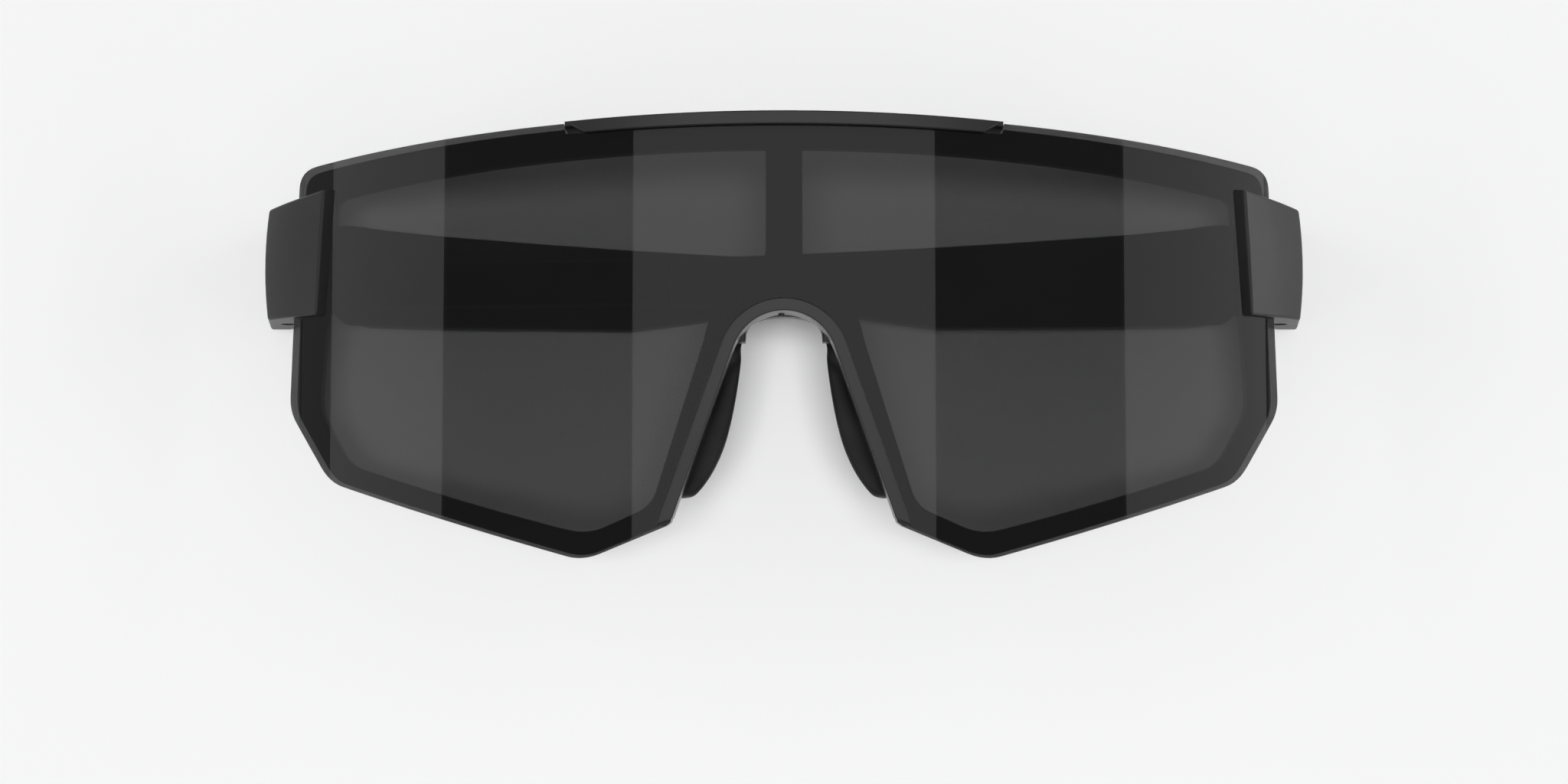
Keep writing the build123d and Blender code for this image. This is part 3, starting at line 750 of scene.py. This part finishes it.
def make_arm(name, side):
    """A rigid arm, with a bevel along the top of its inner face near the root and a pocket for the tongue."""
    stations = [ARM_START, 5.6, 6.2, 7, 8, 10, 12, 15, 18, 21.5]
    stations += [21.5 + 1.5 * k for k in range(1, 43)] + [85.6, ARM_END]
    rings = []
    for s in stations:
        bevel = 1.5 * (1 - smooth((s - 21) / 19))
        end_gap = min(s - ARM_START, ARM_END - s)
        shrink = 0.35 * (1 - min(1.0, end_gap / 0.5))
        section = rounded_section(
            table_value(INNER_SIDE, s) + shrink, table_value(OUTER_SIDE, s) - shrink,
            table_value(ARM_LOW, s) + shrink, table_value(ARM_TOP, s) - shrink,
            0.75, 0.75 + bevel, 1.1)
        fade = 1 - smooth((s - ARM_START) / 9)
        rings.append([on_temple(name, side, s + (heel(t) - ARM_START) * fade, t, y) for t, y in section])
        if s == ARM_START:
            fold = [k for k, (t, y) in enumerate(section) if t == HEEL_T]
    pocket = [on_temple(name, side, s, t, 0) for s, t in POCKET]
    cutter = prism_mesh("tongue_pocket", [(x, z) for x, _, z in pocket], POCKET_LOW, POCKET_HIGH)
    mesh = worked(loft_mesh("arm", rings, fold), 0.01, 1, 80, (cutter,))
    shade(mesh, 38)
    material = MATERIALS["frame_black"]
    finished("arm_" + name, mesh, name + "_temple", material, ("temple_arm_" + name,))


def hollow(distance, half_width):
    """Depth share of a round groove, at a distance from its middle."""
    return max(0.0, 1 - (distance / half_width) ** 2)


def rib(s, y):
    """Depth of the slanted grooves and the long groove of the grip at a place on its face."""
    phase = ((s - RIB_SLANT * (y - 9.6)) / RIB_PITCH) % 1.0
    along = smooth((s - RIB_FIRST) / 0.8) * smooth((RIB_LAST - s) / 0.8)
    across = smooth((y - RIB_LOW) / 0.3) * smooth((RIB_HIGH - y) / 0.3)
    long_y = LONG_GROOVE_Y - LONG_GROOVE_SLOPE * (s - RIB_FIRST)
    long_groove = hollow(y - long_y, LONG_GROOVE_HALF) * smooth((s - 87) / 1.5) * smooth((126 - s) / 2)
    return RIB_DEPTH * max(hollow(phase - 0.5, RIB_HALF) * along * across, 0.7 * long_groove)


def make_grip(name, side, count=128):
    """A ribbed soft grip with a rounded tip."""
    rings = []
    for k in range(count + 1):
        s = mix(GRIP_START, GRIP_SHOULDER, k / count)
        shrink = 0.3 * (1 - min(1.0, (s - GRIP_START) / 0.4))
        rings.append((s, shrink, 1.0))
    for k in range(1, 9):
        turn = math.pi / 2 * k / 8.4
        rings.append((GRIP_SHOULDER + (TIP - GRIP_SHOULDER) * math.sin(turn), 0.0, math.cos(turn)))
    skin = []
    for s, shrink, scale in rings:
        inner = table_value(INNER_SIDE, s) + 0.02 + shrink
        outer = table_value(OUTER_SIDE, s) - 0.02 - shrink
        low = table_value(GRIP_LOW, s) + shrink
        high = table_value(GRIP_TOP, s) - shrink
        middle_t, middle_y = (inner + outer) / 2, (low + high) / 2
        thin = mix(0.55, 1.0, scale)
        section = rounded_section(
            middle_t + (inner - middle_t) * thin, middle_t + (outer - middle_t) * thin,
            middle_y + (low - middle_y) * scale, middle_y + (high - middle_y) * scale, 0.85, count=26)
        ring = []
        for t, y in section:
            near_inner = abs(t - inner) < 0.01
            near_outer = abs(t - outer) < 0.01
            depth = rib(s, y) if scale == 1.0 and (near_inner or near_outer) else 0.0
            ring.append(on_temple(name, side, s, t + depth * (1 if near_inner else -1), y))
        skin.append(ring)
    mesh = loft_mesh("grip", skin)
    shade(mesh, 50)
    material = MATERIALS["soft_rubber"]
    finished("grip_" + name, mesh, name + "_temple", material, ("temple_grip_" + name,))


make_lens()
make_rim()
make_clip()
make_saddle()
make_brow_bar()
for name, side in SIDES:
    make_block(name, side)
    make_pad(name, side)
    make_arm(name, side)
    make_grip(name, side)


# ---- floor, light and camera ----
def make_floor():
    mesh = bpy.data.meshes.new("floor")
    size = 4.0
    corners = [(-size, -size, 0), (size, -size, 0), (size, size, 0), (-size, size, 0)]
    mesh.from_pydata(corners, [], [(0, 1, 2, 3)])
    floor = bpy.data.objects.new("floor", mesh)
    bpy.context.scene.collection.objects.link(floor)
    material = new_material("pale_floor", (0.86, 0.86, 0.865), 0.9)[0]
    material.node_tree.nodes["Principled BSDF"].inputs["Specular IOR Level"].default_value = 0.0
    mesh.materials.append(material)


def softbox(name, centre, towards, width, height, radiance):
    """A rectangular soft light. Width runs across the object and height along Y or Z."""
    data = bpy.data.lights.new(name, "AREA")
    data.shape = "RECTANGLE"
    data.size = width
    data.size_y = height
    data.energy = radiance * math.pi * width * height
    lamp = bpy.data.objects.new(name, data)
    bpy.context.scene.collection.objects.link(lamp)
    lamp.location = centre
    lamp.rotation_mode = "QUATERNION"
    lamp.rotation_quaternion = (Vector(towards) - Vector(centre)).to_track_quat("-Z", "Y")
    lamp.visible_camera = False
    return lamp


def make_world(strength):
    world = bpy.data.worlds.new("studio")
    bpy.context.scene.world = world
    world.use_nodes = True
    world.node_tree.nodes["Background"].inputs["Color"].default_value = (1, 1, 1, 1)
    world.node_tree.nodes["Background"].inputs["Strength"].default_value = strength


# Lights, in metres. The panels only make reflections; the key and the fills only light surfaces.
OVERHEAD_Z = APEX_Z + 0.9
OVERHEAD_WIDTH = 0.886
PANEL_LENGTH = 1.8
PANEL_DISTANCE = 0.9
PANEL_TOP = APEX_Z + 0.498
RADIANCE = 1.5
WORLD_STRENGTH = 0.22
# side, lowest and highest z, radiance
PANELS = ((-1, 0.12, PANEL_TOP, RADIANCE), (-1, 0.01, 0.119, 0.3), (1, 0.01, PANEL_TOP, RADIANCE))
CAMERA_ELEVATION = math.radians(86.5)
CAMERA_DISTANCE = 0.275
TARGET = Vector((0, -7.31 * MM, APEX_Z))


def make_lights():
    overhead = softbox("overhead", (0, 0, OVERHEAD_Z), (0, 0, 0), OVERHEAD_WIDTH, PANEL_LENGTH, RADIANCE)
    overhead.visible_diffuse = False
    for number, (side, low_z, high_z, radiance) in enumerate(PANELS):
        middle = (low_z + high_z) / 2
        centre = (side * PANEL_DISTANCE, 0, middle)
        panel = softbox(f"panel_{number}", centre, (0, 0, middle), PANEL_LENGTH, high_z - low_z, radiance)
        panel.visible_diffuse = False
    accent = softbox("accent", (0.8, 0, 0.16), (0, 0, 0.1), 1.6, 0.3, 3.4)
    accent.visible_diffuse = False
    accent.light_linking.receiver_collection = bpy.data.collections.new("accent_receivers")
    accent.light_linking.receiver_collection.objects.link(bpy.data.objects["block_left"])
    key = softbox("key", (0, -0.055, OVERHEAD_Z), (0, 0, 0), 0.26, 0.16, 46.0)
    key.visible_glossy = False
    for name, side in SIDES:
        fill = softbox("fill_" + name, (side * 0.9, 0, 0.42), (0, 0, 0), 1.2, 0.35, 2.2)
        fill.visible_glossy = False


def make_camera():
    view_back = Vector((0, -math.cos(CAMERA_ELEVATION), math.sin(CAMERA_ELEVATION)))
    camera = bpy.data.objects.new("camera", bpy.data.cameras.new("camera"))
    bpy.context.scene.collection.objects.link(camera)
    camera.data.lens = 50
    camera.data.sensor_width = 36
    camera.data.clip_start = 0.01
    camera.data.clip_end = 20
    camera.location = TARGET + view_back * CAMERA_DISTANCE
    camera.rotation_mode = "QUATERNION"
    camera.rotation_quaternion = (-view_back).to_track_quat("-Z", "Y")
    bpy.context.scene.camera = camera


make_floor()
make_world(WORLD_STRENGTH)
make_lights()
make_camera()
bpy.context.scene.view_settings.view_transform = "Standard"
